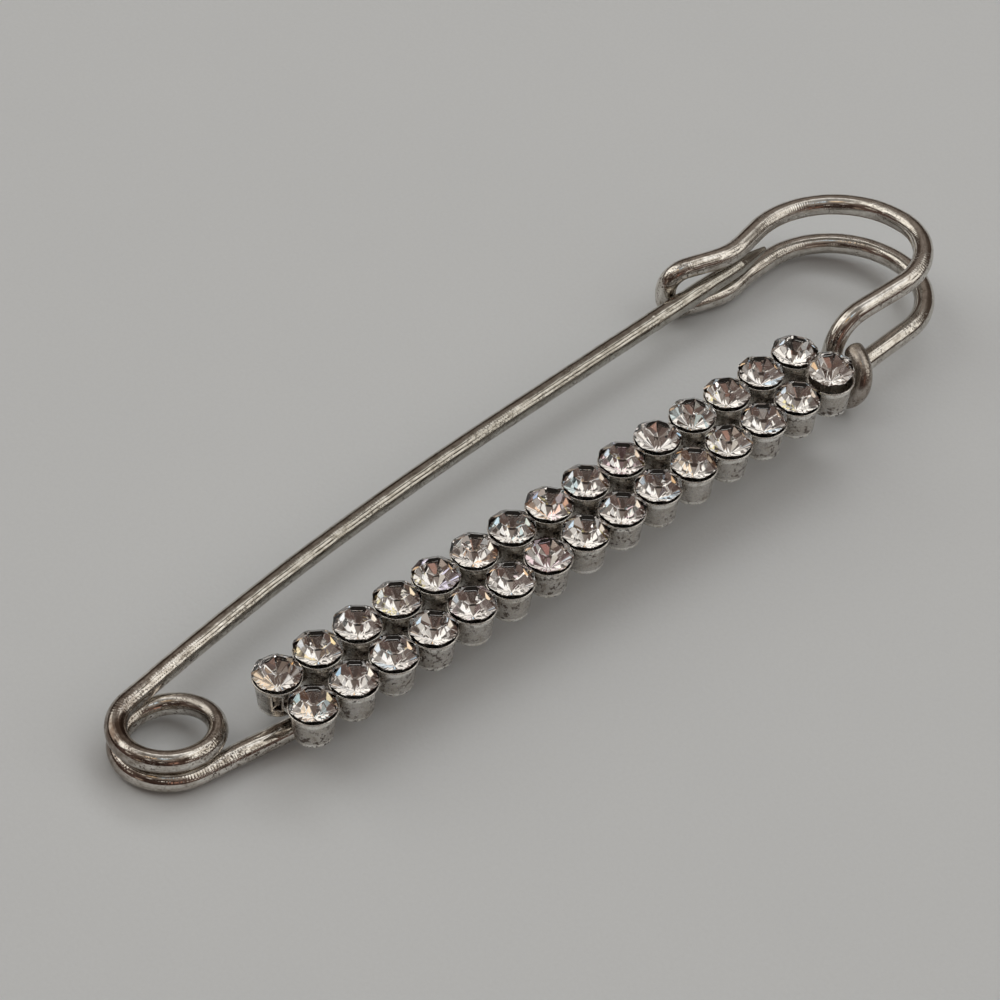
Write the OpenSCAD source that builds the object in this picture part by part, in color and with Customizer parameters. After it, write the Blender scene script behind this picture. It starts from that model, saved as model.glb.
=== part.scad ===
// Safety pin brooch: one long bent wire that makes the pin arm, the coil, the
// back arm and the looped head, with two rows of stone cups along the back arm.
// Working frame: X along the cup bar from the coil to the head, Y from the cup
// bar toward the pin arm, Z up, zero at the middle of the bar on the plane of
// the stones' widest line. The whole brooch is then laid on its resting plane.

/* [Wire] */
// Diameter of the wire
wire_d = 1.5; // [1.4:0.01:1.52]
// Number of sides of the bent wire
wire_sides = 16; // [12:2:20]
// Height of the wire's middle below the stones' widest line, at the back arm
wire_drop = 3.618; // [3.618:0.01:3.8]

/* [Coil] */
// Long radius of the coil, to the wire's middle
coil_r = 3.2; // [3.15:0.01:3.25]
// Short radius of the coil as a share of the long one
coil_squash = 0.888; // [0.87:0.002:0.91]
// Direction of the coil's short radius in degrees
coil_lean = 64; // [55:1:70]
// Rise of the coil in one full turn
coil_rise = 1.69; // [1.66:0.01:1.75]
// Number of steps along the coil
coil_steps = 64; // [48:4:96]

/* [Pin arm] */
// Length of the straight part from the bend to the tip
pin_straight = 27; // [26.5:0.1:27.2]
// Length of the full round stretch that carries the cloth
pin_shank = 14.7; // [12:0.1:15]
// Length of the slim point
pin_point = 3; // [2:0.1:4]
// Radius of the blunt end of the point
pin_tip_r = 0.22; // [0.15:0.01:0.3]

/* [Head] */
// Bend radius of the head loop on the side of the cups
head_r_near = 5.5; // [5.3:0.1:5.6]
// Bend radius of the head loop on the side of the pin
head_r_far = 6.6; // [6.4:0.1:6.7]
// Bend radius of the upright fold that catches the pin
fold_r = 1.47; // [1.45:0.01:1.6]
// Distance from the back arm's middle to the middle of the wire wrapped on it
wrap_r = 1.54; // [1.53:0.01:1.6]

/* [Cups and stones] */
// Distance from one cup to the next along the bar
cup_pitch = 3.35; // [3.33:0.01:3.36]
// Distance between the two rows
row_gap = 3.5; // [3.4:0.01:3.6]
// Outer radius of a cup at its rim
cup_rim_r = 1.66; // [1.62:0.01:1.66]
// Outer radius of a cup just under its rim
cup_wall_r = 1.5; // [1.45:0.01:1.54]
// Outer radius of a cup at its foot
cup_foot_r = 1.3; // [1.1:0.01:1.35]
// Diameter of a stone at its widest line
stone_d = 3.27; // [3.2:0.01:3.29]
// Height of a stone's flat top above its widest line
stone_crown = 0.62; // [0.5:0.01:0.7]
// Width of the flat top as a share of the stone
stone_table = 0.54; // [0.48:0.01:0.6]
// Half width in degrees of the slim corner facets
stone_corner = 2.6; // [1.5:0.1:5]
// Depth of a stone's pointed base
stone_depth = 1.42; // [1.2:0.01:1.5]
// Height by which the last front stone stands up out of its cup
loose_lift = 0.6; // [0.4:0.05:0.7]

/* [Lie] */
// Lean of the brooch about X where it lies, in degrees
lie_x = -6.99; // [-7.1:0.01:-6.9]
// Lean of the brooch about Y where it lies, in degrees
lie_y = -1.447; // [-1.5:0.01:-1.4]

/* [Hidden] */
$fn = 48;
cups = 15;
wr = wire_d/2;
zl = -wire_drop;
hair = 0.03;

// ---- small helpers -------------------------------------------------------
function unit(v) = v/norm(v);
function xyz(p) = [p[0], p[1], p[2]];
function mins(l, k) = min([for (p = l) p[k]]);
function maxs(l, k) = max([for (p = l) p[k]]);

// points of a round bend of radius r at corner b between a and c
function bend(a, b, c, r) =
    let (u = unit(a-b), v = unit(c-b), turn = 180-acos(max(-1, min(1, u*v))))
    turn < 0.1 ? [b] :
    let (t = r*tan(turn/2), w = unit(u+v), o = b+w*sqrt(r*r+t*t),
         s = b+u*t-o, e = b+v*t-o, m = max(2, ceil(turn/10)))
    [for (k = [0:m]) let (q = turn*k/m) o+(sin(turn-q)*s+sin(q)*e)/sin(turn)];

// corners [x, y, z, bend radius] turned into a smooth line of points
function rounded(c) = [
    xyz(c[0]),
    for (i = [1:len(c)-2]) each bend(xyz(c[i-1]), xyz(c[i]), xyz(c[i+1]), c[i][3]),
    xyz(c[len(c)-1])];

function tangents(p) = let (n = len(p)) [for (i = [0:n-1])
    i == 0 ? unit(p[1]-p[0]) : i == n-1 ? unit(p[n-1]-p[n-2]) :
    unit(unit(p[i+1]-p[i])+unit(p[i]-p[i-1]))];

// side directions carried along the line without twist
function sides(t, s0) = [for (i = 0, s = unit(s0-(s0*t[0])*t[0]); i < len(t);
    i = i+1, s = i < len(t) ? unit(s-(s*t[i])*t[i]) : s) s];

// closed tube with half width wa along the side direction and wb across it
module tube(p, t, s, wa, wb) {
    m = wire_sides;
    n = len(p);
    f = sqrt((360/m)*PI/180/sin(360/m));
    pts = [for (i = [0:n-1]) let (b = cross(t[i], s[i])) for (j = [0:m-1])
        p[i]+f*(wa[i]*cos(360*j/m)*s[i]+wb*sin(360*j/m)*b)];
    polyhedron(pts, concat(
        [[for (j = [0:m-1]) j]],
        [[for (j = [m-1:-1:0]) (n-1)*m+j]],
        [for (i = [0:n-2], j = [0:m-1]) each [
            [i*m+j, (i+1)*m+j, (i+1)*m+(j+1)%m],
            [i*m+j, (i+1)*m+(j+1)%m, i*m+(j+1)%m]]]), convexity = 12);
}

// ---- the line of the wire ------------------------------------------------
coil_mid = [-30.65, 3.89];
coil_a0 = 104.3;
coil_a1 = 625.2;
function coil_at(a) = let (
        u = cos(a)*cos(coil_lean)+sin(a)*sin(coil_lean),
        w = -cos(a)*sin(coil_lean)+sin(a)*cos(coil_lean),
        x = coil_r*(coil_squash*u*cos(coil_lean)-w*sin(coil_lean)),
        y = coil_r*(coil_squash*u*sin(coil_lean)+w*cos(coil_lean)))
    [coil_mid[0]+x, coil_mid[1]+y,
     zl+coil_rise*(coil_a1-a)/360+0.06*sin(180*(coil_a1-a)/(coil_a1-coil_a0))];
coil_line = [for (k = [0:coil_steps]) coil_at(coil_a0+(coil_a1-coil_a0)*k/coil_steps)];

// back arm, lower head loop, fold, upper head loop and the way down
frame_corners = [
    [coil_line[coil_steps][0]+hair, coil_line[coil_steps][1]-hair*0.12, zl, 0],
    [-23.1, 0.0, zl, 27],
    [27.5, 0.21, zl, 10],
    [39.53, 1.0, zl, head_r_near],
    [39.53, 13.145, zl, head_r_far],
    [30.3, 12.65, zl, 5],
    [27.36, 12.06, zl, 5],
    [22.54, 13.5, zl+0.1, fold_r],
    [22.54, 13.5, -0.02, fold_r],
    [27.51, 11.98, -0.02, 5],
    [31.41, 12.87, -0.02, 5],
    [39.0, 13.73, -0.08, head_r_far-0.15],
    [39.0, 0.77, 1.075, head_r_near-0.8],
    [28.1, 1.98, -0.38, 3.4]];

// the free end wrapped on the back arm: angle about the arm and place along it
wrap_y = 0.21;
wrap_angles = [28, 14, 0, -14, -28, -42, -56, -70, -84, -98, -112, -126, -140, -154,
    -168, -182, -196, -210, -224, -238, -252, -266, -280, -287];
function wrap_x(a) = lookup(-a, [[-28, 27.20], [0, 26.97], [30, 26.72], [60, 26.63],
    [90, 26.66], [120, 26.80], [150, 27.02], [180, 27.30], [210, 27.62], [240, 27.94],
    [270, 28.28], [287, 28.48]]);
wrap_line = [for (a = wrap_angles) [wrap_x(a), wrap_y+wrap_r*cos(a), zl+wrap_r*sin(a)]];
frame_line = concat(rounded(concat(frame_corners, [concat(wrap_line[0], [0])])),
    [for (i = [1:len(wrap_line)-1]) wrap_line[i]]);

// pin arm: bent gently between the coil and the straight part
pin_x = 4.69;
pin_y = 11.02;
pin_z = -1.538;
pin_dip = 0.577;
pin_turn = 2.862;
bow1_r = 235.9;
bow1_a = 5.026;
bow2_r = 288.9;
bow2_a = 3.132;

// ---- where the brooch lies ----------------------------------------------
function lean(p) = let (a = [p[0], p[1]*cos(lie_x)-p[2]*sin(lie_x), p[1]*sin(lie_x)+p[2]*cos(lie_x)])
    [a[0]*cos(lie_y)+a[2]*sin(lie_y), a[1], -a[0]*sin(lie_y)+a[2]*cos(lie_y)];
lie_line = [for (p = concat(coil_line, frame_line)) lean(p)];
rim_front = lean([0, -row_gap/2-cup_rim_r, -0.25])[1];
lie_shift = [
    -(mins(lie_line, 0)+maxs(lie_line, 0))/2,
    -(min(rim_front, mins(lie_line, 1)-wr)+maxs(lie_line, 1)+wr)/2,
    -mins(lie_line, 2)+wr+0.005];
module lying() translate(lie_shift) rotate([lie_x, lie_y, 0]) children();

// ---- pieces --------------------------------------------------------------
// straight pin with its point, then the two gentle bends back to the coil
module pin_arm() color("silver") lying()
translate([pin_x, pin_y, pin_z]) rotate([0, pin_dip, pin_turn]) {
    rotate([0, 90, 0]) rotate_extrude() polygon(concat(
        [[0, 0], [wr, 0], [wr, pin_shank], [wr-0.05, pin_straight-pin_point]],
        [for (a = [10:20:70]) [pin_tip_r*cos(a), pin_straight-pin_tip_r*(1-sin(a))]],
        [[0, pin_straight-pin_tip_r*(1-sin(70))]]));
    // each bend starts a little inside the piece before it and is a hair slimmer
    translate([0, -bow2_r, 0]) rotate([0, 0, 90-0.06]) rotate_extrude(angle = bow2_a+0.06)
        translate([bow2_r, 0]) circle(r = wr-0.01);
    translate([-bow2_r*sin(bow2_a), bow2_r*(cos(bow2_a)-1), 0]) rotate([0, 0, bow2_a])
        translate([0, -bow1_r, 0]) rotate([0, 0, 90-0.07]) rotate_extrude(angle = bow1_a+0.07)
        translate([bow1_r, 0]) circle(r = wr-0.02);
}

// coil of about one and a half turns, the wire pressed slightly flat by the bend
module coil() color("silver") lying() {
    mid = tangents(coil_line);
    a = bow1_a+bow2_a;
    into = [-cos(a)*cos(pin_dip)*cos(pin_turn)+sin(a)*sin(pin_turn),
            -cos(a)*cos(pin_dip)*sin(pin_turn)-sin(a)*cos(pin_turn), cos(a)*sin(pin_dip)];
    t = concat([into], [for (i = [1:coil_steps-1]) mid[i]], [unit(frame_line[1]-frame_line[0])]);
    s = [for (i = [0:coil_steps]) let (c = [coil_line[i][0]-coil_mid[0], coil_line[i][1]-coil_mid[1], 0])
        unit(c-(c*t[i])*t[i])];
    wa = [for (i = [0:coil_steps]) wr*(1-0.1*sin(180*i/coil_steps))];
    tube(coil_line, t, s, wa, wr);
}

// back arm, head loops, fold and wrapped end, all one wire
module wire_frame() color("silver") lying() {
    t = tangents(frame_line);
    tube(frame_line, t, sides(t, [0, 0, 1]), [for (p = frame_line) wr], wr);
}

// one open cup
module cup() rotate_extrude() polygon([
    [0, -2.82], [cup_foot_r-0.14, -2.82], [cup_foot_r, -2.68], [cup_wall_r, -0.56], [cup_rim_r-0.03, -0.46],
    [cup_rim_r, -0.4], [cup_rim_r, -0.31], [cup_rim_r-0.05, -0.26], [cup_rim_r-0.12, -0.26],
    [cup_rim_r-0.2, -0.6], [1.0, -2.4], [0, -2.4]]);

// two rows of cups with the links of the chains and the bar between the rows
module cup_bar() color("gainsboro") lying() difference() {
    union() {
        for (i = [0:cups-1], s = [-1, 1])
            translate([(i-(cups-1)/2)*cup_pitch, s*row_gap/2, 0]) cup();
        for (i = [0:cups-2], s = [-1, 1])
            translate([(i-(cups-1)/2)*cup_pitch+1.28, s*row_gap/2-0.4, -1.9])
                cube([cup_pitch-2.56, 0.8, 0.5]);
        translate([-(cups-1)/2*cup_pitch-0.7, -0.42, -1.95])
            cube([(cups-1)*cup_pitch+1.4, 0.84, 0.5]);
    }
    // side slot in the first back cup, where the chain was cut
    translate([-(cups-1)/2*cup_pitch, row_gap/2, 0]) rotate([0, 0, -131])
        translate([0.9, -0.38, -2.1]) cube([1.2, 0.76, 1.4]);
}

// faceted stone: eight-sided flat top, eight broad crown facets that end in the
// straight edges of the outline, slim corner facets, thin girdle, pointed base
module stone() {
    gr = stone_d/2;
    rt = stone_table*gr;
    w = stone_corner;
    pts = concat(
        [for (k = [0:7]) [rt*cos(22.5+45*k), rt*sin(22.5+45*k), stone_crown]],
        [for (z = [0.03, -0.05], k = [0:7], q = [w-22.5, 22.5-w])
            [gr*cos(45*k+q), gr*sin(45*k+q), z]],
        [[0, 0, -stone_depth]]);
    polyhedron(pts, concat(
        [[for (k = [7:-1:0]) k]],
        [for (k = [0:7]) each [[8+2*k, (k+7)%8, k], [8+2*k, k, 9+2*k]]],
        [for (k = [0:7]) [9+2*k, k, 8+(2*k+2)%16]],
        [for (j = [0:15]) each [[8+j, 8+(j+1)%16, 24+(j+1)%16], [8+j, 24+(j+1)%16, 24+j]]],
        [for (j = [0:15]) [24+j, 24+(j+1)%16, 40]]), convexity = 2);
}

// each stone is turned its own way in its cup, in degrees
turns_back = [-13, 10, 3, 8, 16, -4, 1, -9, -1, 0, -21, 16, 11, 8, -14];
turns_front = [6, 2, 8, -3, 8, 9, 16, -4, -2, 4, -2, 12, 2, -6, 10];

// stone number i (1 to 15) of the row on side s; the last front one stands up
module set_stone(i, s) color("aliceblue") lying()
    translate([(i-1-(cups-1)/2)*cup_pitch, s*row_gap/2, 0])
    translate(i == 15 && s == -1 ? [-0.05, 0.1, loose_lift] : [0, 0, 0])
    rotate(i == 15 && s == -1 ? [4, -5, 0] : [0, 0, 0])
    rotate([0, 0, s > 0 ? turns_back[i-1] : turns_front[i-1]]) stone();

pin_arm();
coil();
wire_frame();
cup_bar();
set_stone(1, 1);  // stone_back_01
set_stone(2, 1);  // stone_back_02
set_stone(3, 1);  // stone_back_03
set_stone(4, 1);  // stone_back_04
set_stone(5, 1);  // stone_back_05
set_stone(6, 1);  // stone_back_06
set_stone(7, 1);  // stone_back_07
set_stone(8, 1);  // stone_back_08
set_stone(9, 1);  // stone_back_09
set_stone(10, 1);  // stone_back_10
set_stone(11, 1);  // stone_back_11
set_stone(12, 1);  // stone_back_12
set_stone(13, 1);  // stone_back_13
set_stone(14, 1);  // stone_back_14
set_stone(15, 1);  // stone_back_15
set_stone(1, -1);  // stone_front_01
set_stone(2, -1);  // stone_front_02
set_stone(3, -1);  // stone_front_03
set_stone(4, -1);  // stone_front_04
set_stone(5, -1);  // stone_front_05
set_stone(6, -1);  // stone_front_06
set_stone(7, -1);  // stone_front_07
set_stone(8, -1);  // stone_front_08
set_stone(9, -1);  // stone_front_09
set_stone(10, -1);  // stone_front_10
set_stone(11, -1);  // stone_front_11
set_stone(12, -1);  // stone_front_12
set_stone(13, -1);  // stone_front_13
set_stone(14, -1);  // stone_front_14
set_stone(15, -1);  // stone_front_15
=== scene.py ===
import bpy, math
import numpy as np
from mathutils import Vector, Matrix


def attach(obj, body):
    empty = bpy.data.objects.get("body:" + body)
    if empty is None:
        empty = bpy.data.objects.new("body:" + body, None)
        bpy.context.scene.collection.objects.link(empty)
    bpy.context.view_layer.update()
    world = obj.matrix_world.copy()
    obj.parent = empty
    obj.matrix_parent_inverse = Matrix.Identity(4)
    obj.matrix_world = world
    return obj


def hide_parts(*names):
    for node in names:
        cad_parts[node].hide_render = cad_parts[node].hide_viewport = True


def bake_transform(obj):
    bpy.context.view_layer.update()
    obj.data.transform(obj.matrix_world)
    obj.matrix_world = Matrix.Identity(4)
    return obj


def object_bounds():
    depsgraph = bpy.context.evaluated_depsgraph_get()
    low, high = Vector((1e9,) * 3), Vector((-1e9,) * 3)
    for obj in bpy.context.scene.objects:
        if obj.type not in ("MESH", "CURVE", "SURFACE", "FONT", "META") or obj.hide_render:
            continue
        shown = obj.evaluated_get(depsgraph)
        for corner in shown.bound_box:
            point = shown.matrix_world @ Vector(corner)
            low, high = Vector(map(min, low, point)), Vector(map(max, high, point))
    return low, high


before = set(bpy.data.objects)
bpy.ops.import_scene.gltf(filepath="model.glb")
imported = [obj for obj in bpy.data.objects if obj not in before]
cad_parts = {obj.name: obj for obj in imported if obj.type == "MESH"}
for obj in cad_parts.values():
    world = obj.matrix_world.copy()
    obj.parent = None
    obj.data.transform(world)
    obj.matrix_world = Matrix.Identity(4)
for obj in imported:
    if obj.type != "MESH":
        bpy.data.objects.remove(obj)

cad_lo, cad_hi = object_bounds()
scene = bpy.context.scene
rng = np.random.default_rng(7)

# ------------------------------------------------------------------ frames
# The working frame of the part is in millimetres, X along the cups; the
# brooch is then leaned onto its resting plane, as part.scad does.
PITCH = 3.35
WR = 0.75
ZL = -3.618
LIE = (math.radians(-6.99), math.radians(-1.447))
SHIFT = np.array([-2.95184, -5.29435, 5.28004])
_cx, _sx, _cy, _sy = math.cos(LIE[0]), math.sin(LIE[0]), math.cos(LIE[1]), math.sin(LIE[1])
ROT = (np.array([[_cy, 0, _sy], [0, 1, 0], [-_sy, 0, _cy]])
       @ np.array([[1, 0, 0], [0, _cx, -_sx], [0, _sx, _cx]]))


def row(p):
    """working frame in mm to the row frame in metres"""
    return (np.atleast_2d(np.asarray(p, float)) @ ROT.T + SHIFT) / 1000


def rowv(v):
    return ROT @ np.asarray(v, float)


def unit(v):
    v = np.asarray(v, float)
    return v / np.linalg.norm(v)


# ------------------------------------------------------------------ camera
AZ, EL, ROLL, DIST, FPX, TX, TY = -44.0348, 43.3556, 1.9629, 69.2593, 3510.31, -0.6733, 1.2253
_a, _e, _r = map(math.radians, (AZ, EL, ROLL))
back = np.array([math.sin(_a) * math.cos(_e), -math.cos(_a) * math.cos(_e), math.sin(_e)])
eye = (np.array([TX, TY, 0]) + back * DIST) * PITCH
side = unit(np.cross(-back, [0, 0, 1]))
up = np.cross(side, -back)
cam_x = math.cos(_r) * side + math.sin(_r) * up
cam_y = -math.sin(_r) * side + math.cos(_r) * up
cam_data = bpy.data.cameras.new("camera")
cam_data.sensor_width = 36
cam_data.lens = 36 * FPX / 1000
cam_data.clip_start, cam_data.clip_end = 0.01, 20
cam = bpy.data.objects.new("camera", cam_data)
scene.collection.objects.link(cam)
m = Matrix.Identity(4)
cx, cy, cz = rowv(cam_x), rowv(cam_y), rowv(back)
for k in range(3):
    m[k][0], m[k][1], m[k][2], m[k][3] = cx[k], cy[k], cz[k], row(eye)[0][k]
cam.matrix_world = m
scene.camera = cam


# ------------------------------------------------------------------ helpers
def make(name, verts, faces, mats, uv=None, smooth=True, matidx=None):
    """mesh object from numpy data; verts already in the row frame, in metres"""
    me = bpy.data.meshes.new(name)
    me.from_pydata(np.asarray(verts).tolist(), [], [list(f) for f in faces])
    for mt in mats:
        me.materials.append(mt)
    if uv is not None:
        layer = me.uv_layers.new(name="along")
        idx = np.empty(len(me.loops), np.int32)
        me.loops.foreach_get("vertex_index", idx)
        if uv.ndim == 2:
            layer.data.foreach_set("uv", uv[idx].astype(np.float32).ravel())
        else:
            layer.data.foreach_set("uv", uv.astype(np.float32).ravel())
    if matidx is not None:
        me.polygons.foreach_set("material_index", np.asarray(matidx, np.int32))
    me.polygons.foreach_set("use_smooth", np.full(len(me.polygons), bool(smooth)))
    me.update()
    ob = bpy.data.objects.new(name, me)
    scene.collection.objects.link(ob)
    return ob


def waves(seed, n, ks, kt):
    """smooth random surface over length s (mm) and angle t: a list of modes"""
    g = np.random.default_rng(seed)
    return [(g.uniform(ks[0], ks[1]) * g.choice([-1, 1]), int(g.integers(kt[0], kt[1] + 1)),
             g.uniform(0, 2 * math.pi), g.uniform(0.5, 1)) for _ in range(n)]


def wave_sum(modes, s, t):
    out = np.zeros(np.broadcast(s, t).shape)
    for k, mth, ph, a in modes:
        out += a * np.cos(k * s + mth * t + ph)
    return out / math.sqrt(len(modes) * 0.5)


# ------------------------------------------------------------------ wire line
def fillet(a, b, c, r, step=2.0):
    u, v = unit(a - b), unit(c - b)
    turn = 180 - math.degrees(math.acos(max(-1, min(1, float(u @ v)))))
    if turn < 0.1:
        return [b]
    t = r * math.tan(math.radians(turn / 2))
    w = unit(u + v)
    o = b + w * math.sqrt(r * r + t * t)
    s, e = b + u * t - o, b + v * t - o
    n = max(4, math.ceil(turn / step))
    return [o + (math.sin(math.radians(turn - turn * k / n)) * s
                 + math.sin(math.radians(turn * k / n)) * e) / math.sin(math.radians(turn))
            for k in range(n + 1)]


def rounded(c):
    p = [np.array(q[:3], float) for q in c]
    out = [p[0]]
    for i in range(1, len(c) - 1):
        out += fillet(p[i - 1], p[i], p[i + 1], c[i][3])
    return out + [p[-1]]


COIL_MID = np.array([-30.65, 3.89])
A0, A1, COIL_R, SQUASH, LEAN, RISE = 104.3, 625.2, 3.2, 0.888, math.radians(64), 1.69


def coil_at(a):
    q = math.radians(a)
    u = math.cos(q) * math.cos(LEAN) + math.sin(q) * math.sin(LEAN)
    w = -math.cos(q) * math.sin(LEAN) + math.sin(q) * math.cos(LEAN)
    return np.array([
        COIL_MID[0] + COIL_R * (SQUASH * u * math.cos(LEAN) - w * math.sin(LEAN)),
        COIL_MID[1] + COIL_R * (SQUASH * u * math.sin(LEAN) + w * math.cos(LEAN)),
        ZL + RISE * (A1 - a) / 360 + 0.06 * math.sin(math.pi * (A1 - a) / (A1 - A0))])


# pin arm, from the tip back to the coil
PIN0 = np.array([4.69, 11.02, -1.538])
DIP, TURN = math.radians(0.577), math.radians(2.862)
PIN_L = 27.0
B1R, B1A, B2R, B2A = 235.9, math.radians(5.026), 288.9, math.radians(3.132)
Rdip = np.array([[math.cos(DIP), 0, math.sin(DIP)], [0, 1, 0], [-math.sin(DIP), 0, math.cos(DIP)]])
Rtrn = np.array([[math.cos(TURN), -math.sin(TURN), 0], [math.sin(TURN), math.cos(TURN), 0], [0, 0, 1]])
PINQ = Rtrn @ Rdip


def arm_local(s):
    """point on the arm at s mm before the straight part's start (s < 0: on the straight part)"""
    if s <= 0:
        return np.array([-s, 0, 0])
    if s <= B2R * B2A:
        q = s / B2R
        return np.array([-B2R * math.sin(q), B2R * (math.cos(q) - 1), 0])
    q = (s - B2R * B2A) / B1R
    c, d = math.cos(B2A), math.sin(B2A)
    l = np.array([-B1R * math.sin(q), B1R * (math.cos(q) - 1), 0])
    return np.array([-B2R * d, B2R * (c - 1), 0]) + np.array([c * l[0] - d * l[1], d * l[0] + c * l[1], 0])


arm_len = PIN_L + B2R * B2A + B1R * B1A
arm_pts = [PIN0 + PINQ @ arm_local(s - PIN_L) for s in np.arange(0, arm_len, 0.5)]
arm_pts.append(PIN0 + PINQ @ arm_local(arm_len - PIN_L))
coil_pts = [coil_at(a) for a in np.linspace(A0, A1, 262)]
ce = coil_at(A1)
corners = [
    (ce[0] + 0.03, ce[1] - 0.0036, ZL, 0), (-23.1, 0.0, ZL, 27), (27.5, 0.21, ZL, 10),
    (39.53, 1.0, ZL, 5.5), (39.53, 13.145, ZL, 6.6), (30.3, 12.65, ZL, 5), (27.36, 12.06, ZL, 5),
    (22.54, 13.5, ZL + 0.1, 1.47), (22.54, 13.5, -0.02, 1.47), (27.51, 11.98, -0.02, 5),
    (31.41, 12.87, -0.02, 5), (39.0, 13.73, -0.08, 6.45), (39.0, 0.77, 1.075, 4.7),
    (28.1, 1.98, -0.38, 3.4)]
WRAP_Y, WRAP_R = 0.21, 1.54
_wa = [-28, 0, 30, 60, 90, 120, 150, 180, 210, 240, 270, 287]
_wx = [27.20, 26.97, 26.72, 26.63, 26.66, 26.80, 27.02, 27.30, 27.62, 27.94, 28.28, 28.48]
wrap = []
for a in np.arange(28, -287.1, -3.5):
    x = float(np.interp(-a, _wa, _wx))
    wrap.append(np.array([x, WRAP_Y + WRAP_R * math.cos(math.radians(a)), ZL + WRAP_R * math.sin(math.radians(a))]))
frame_pts = rounded(corners + [tuple(wrap[0]) + (0,)]) + wrap[1:]

# one continuous line, evenly stepped and gently smoothed
raw = np.array(arm_pts + coil_pts + frame_pts)
keep = np.concatenate([[True], np.linalg.norm(np.diff(raw, axis=0), axis=1) > 0.02])
raw = raw[keep]
cum = np.concatenate([[0], np.cumsum(np.linalg.norm(np.diff(raw, axis=0), axis=1))])
STEP = 0.12
S = np.arange(0, cum[-1], STEP)
line = np.stack([np.interp(S, cum, raw[:, k]) for k in range(3)], 1)


def smooth(p, sigma):
    w = int(3 * sigma / STEP)
    g = np.exp(-0.5 * (np.arange(-w, w + 1) * STEP / sigma) ** 2)
    g /= g.sum()
    q = np.vstack([2 * p[0] - p[w:0:-1], p, 2 * p[-1] - p[-2:-w - 2:-1]])
    return np.stack([np.convolve(q[:, k], g, "valid") for k in range(3)], 1)


line = smooth(line, 0.28)
tan = np.gradient(line, axis=0)
tan /= np.linalg.norm(tan, axis=1)[:, None]
curv = np.linalg.norm(np.gradient(tan, axis=0), axis=1) / STEP
nrm = np.zeros_like(line)
n0 = unit(np.cross(tan[0], [0, 0, 1]))
for i in range(len(line)):
    n0 = unit(n0 - (n0 @ tan[i]) * tan[i])
    nrm[i] = n0
bnm = np.cross(tan, nrm)

s_coil0 = arm_len                      # where the arm meets the coil
s_coil1 = cum[len(cum) - 1 - (len(frame_pts) - 1)] if False else None
coil_len = float(np.sum(np.linalg.norm(np.diff(np.array(coil_pts), axis=0), axis=1)))
s_coil1 = s_coil0 + coil_len
TOTAL = S[-1]

# radius along the wire: pointed tip, full round, rounded cut end
rad = np.full(len(S), WR)
for i, s in enumerate(S):
    if s < PIN_L:
        x = PIN_L - s
        if x > 26.78:
            rad[i] = max(0.03, 0.215 * math.sqrt(max(0.0, 1 - ((x - 26.78) / 0.22) ** 2)))
        elif x > 24:
            rad[i] = 0.215 + (0.70 - 0.215) * (26.78 - x) / 2.78
        elif x > 14.7:
            rad[i] = 0.70 + 0.05 * (24 - x) / 9.3
end = TOTAL - S
rad = np.where(end < 0.12, WR - 0.12 + np.sqrt(np.maximum(0, 0.12 ** 2 - (0.12 - end) ** 2)), rad)
arm_zone = np.clip((s_coil0 - S) / 2, 0, 1)
rad -= 0.022 * arm_zone * (S > 12.3)   # the bent part of the arm is a hair slimmer, as in the frame

NS = 40
th = np.linspace(0, 2 * math.pi, NS, endpoint=False)
low = waves(11, 26, (0.5, 2.4), (0, 3))
mid = waves(12, 30, (3.0, 7.0), (0, 5))
comb = waves(13, 14, (11.0, 19.0), (0, 2))
SS, TT = np.meshgrid(S, th, indexing="ij")
bendy = np.clip((curv - 0.08) / 0.25, 0, 1)[:, None]
patch = np.clip(wave_sum(waves(14, 16, (0.4, 1.4), (0, 2)), SS, TT), 0, 1.2)
relief = (0.0045 * wave_sum(low, SS, TT) + 0.0012 * wave_sum(mid, SS, TT)
          + 0.0016 * bendy * patch * wave_sum(comb, SS, TT))
fade = np.clip(np.minimum(S / 2.5, 1), 0, 1)[:, None]
R = rad[:, None] - 0.006 + np.minimum(relief * fade, 0.006)
U = np.cos(TT)[..., None] * nrm[:, None, :] + np.sin(TT)[..., None] * bnm[:, None, :]
# the coil's wire is pressed slightly flat by its bend
flat = np.where((S > s_coil0) & (S < s_coil1), 0.1 * np.sin(math.pi * np.clip((S - s_coil0) / coil_len, 0, 1)), 0)
rd = line - np.array([COIL_MID[0], COIL_MID[1], 0])
rd[:, 2] = 0
rd -= np.sum(rd * tan, axis=1)[:, None] * tan
rd /= np.maximum(np.linalg.norm(rd, axis=1), 1e-9)[:, None]
off = R[..., None] * U
off -= (flat[:, None] * np.sum(off * rd[:, None, :], axis=2))[..., None] * rd[:, None, :]
rings = line[:, None, :] + off


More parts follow.
